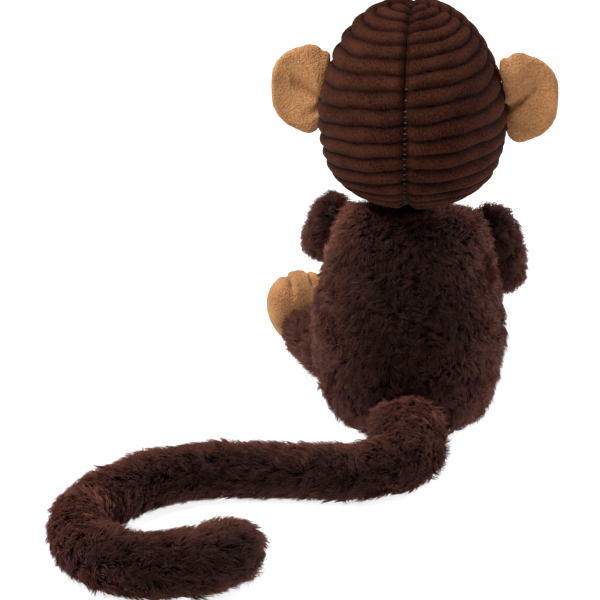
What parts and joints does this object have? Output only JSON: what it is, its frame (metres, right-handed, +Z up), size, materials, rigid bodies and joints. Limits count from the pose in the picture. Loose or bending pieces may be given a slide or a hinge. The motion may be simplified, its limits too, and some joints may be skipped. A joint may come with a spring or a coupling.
{
  "type": "stuffed monkey",
  "caption": "Seated plush monkey with a long curling tail: fur body and limbs, ribbed corduroy head, tan ears, hands and feet, sewn joints that flex.",
  "frame": {"origin": "middle of the flat seat panel, on the floor plane", "axes": "+Z up; the monkey faces -Y, so its back and tail are on the +Y side, and its left side is +X"},
  "size_m": [0.2733, 0.3748, 0.2682],
  "materials": {
    "brown_fur": "matte",
    "brown_corduroy": "matte",
    "tan_short_pile": "matte",
    "fibre_filling": "matte",
    "plastic_beans": "satin",
    "pouch_cloth": "matte",
    "eye_plastic": "gloss",
    "washer_plastic": "satin",
    "tan_thread": "matte",
    "dark_thread": "matte"
  },
  "bodies": {
    "torso": {"seat_panel": "brown_fur", "back_left": "brown_fur", "back_right": "brown_fur", "belly_panel": "brown_fur", "closing_stitches": "dark_thread", "body_stuffing": "fibre_filling", "bean_pouch": "pouch_cloth", "bean_filling": "plastic_beans"},
    "neck": {"neck_plug": "fibre_filling", "neck_thread": "dark_thread"},
    "head": {"head_back_left": "brown_corduroy", "head_back_right": "brown_corduroy", "head_side_left": "brown_corduroy", "head_side_right": "brown_corduroy", "face_panel": "tan_short_pile", "head_stuffing": "fibre_filling", "muzzle": "tan_short_pile", "muzzle_stuffing": "fibre_filling", "nose_stitching": "dark_thread", "mouth_stitching": "dark_thread", "eye_left": "eye_plastic", "eye_right": "eye_plastic", "eye_washer_left": "washer_plastic", "eye_washer_right": "washer_plastic"},
    "ear_left": {"ear_left_back": "tan_short_pile", "ear_left_front": "tan_short_pile"},
    "ear_right": {"ear_right_back": "tan_short_pile", "ear_right_front": "tan_short_pile"},
    "arm_left": {"arm_left": "brown_fur", "arm_left_stuffing": "fibre_filling", "hand_left": "tan_short_pile"},
    "arm_right": {"arm_right": "brown_fur", "arm_right_stuffing": "fibre_filling", "hand_right": "tan_short_pile"},
    "leg_left": {"leg_left": "brown_fur", "leg_left_stuffing": "fibre_filling", "foot_left_upper": "tan_short_pile", "foot_left_sole": "tan_short_pile", "foot_left_stuffing": "fibre_filling", "toe_stitches_left": "tan_thread"},
    "leg_right": {"leg_right": "brown_fur", "leg_right_stuffing": "fibre_filling", "foot_right_upper": "tan_short_pile", "foot_right_sole": "tan_short_pile", "foot_right_stuffing": "fibre_filling", "toe_stitches_right": "tan_thread"},
    "tail": {"tail": "brown_fur", "tail_stuffing": "fibre_filling"}
  },
  "joints": [
    {"name": "head_turn", "type": "hinge", "parent": "torso", "child": "neck", "pos_m": [0, 0, 0.13825], "axis": [0, 0, 1], "range_deg": [-35, 35], "stiffness_Nm_per_rad": 0.3},
    {"name": "head_nod", "type": "hinge", "parent": "neck", "child": "head", "pos_m": [0, 0, 0.13825], "axis": [1, 0, 0], "range_deg": [-12, 12], "stiffness_Nm_per_rad": 1},
    {"name": "ear_left_fold", "type": "hinge", "parent": "head", "child": "ear_left", "pos_m": [0.05718, -0.005, 0.21068], "axis": [0, 0, 1], "range_deg": [-16, 16], "stiffness_Nm_per_rad": 0.01},
    {"name": "ear_right_fold", "type": "hinge", "parent": "head", "child": "ear_right", "pos_m": [-0.05718, -0.005, 0.21068], "axis": [0, 0, 1], "range_deg": [-16, 16], "stiffness_Nm_per_rad": 0.01},
    {"name": "shoulder_left", "type": "hinge", "parent": "torso", "child": "arm_left", "pos_m": [0.04911, -0.0194, 0.12169], "axis": [1, 0, 0], "range_deg": [-50, 8], "stiffness_Nm_per_rad": 0.15},
    {"name": "shoulder_right", "type": "hinge", "parent": "torso", "child": "arm_right", "pos_m": [-0.04911, -0.0194, 0.12169], "axis": [1, 0, 0], "range_deg": [-50, 4], "stiffness_Nm_per_rad": 0.15},
    {"name": "hip_left", "type": "hinge", "parent": "torso", "child": "leg_left", "pos_m": [0.05503, -0.0357, 0.0155], "axis": [0.866, 0.5, 0], "range_deg": [-32, 4], "stiffness_Nm_per_rad": 0.15},
    {"name": "hip_right", "type": "hinge", "parent": "torso", "child": "leg_right", "pos_m": [-0.0292, -0.05299, 0.0155], "axis": [1, 0, 0], "range_deg": [-18, 4], "stiffness_Nm_per_rad": 0.15},
    {"name": "tail_swing", "type": "hinge", "parent": "torso", "child": "tail", "pos_m": [-0.00847, 0.07065, 0.0185], "axis": [0, 0, 1], "range_deg": [-25, 25], "stiffness_Nm_per_rad": 0.1}
  ]
}
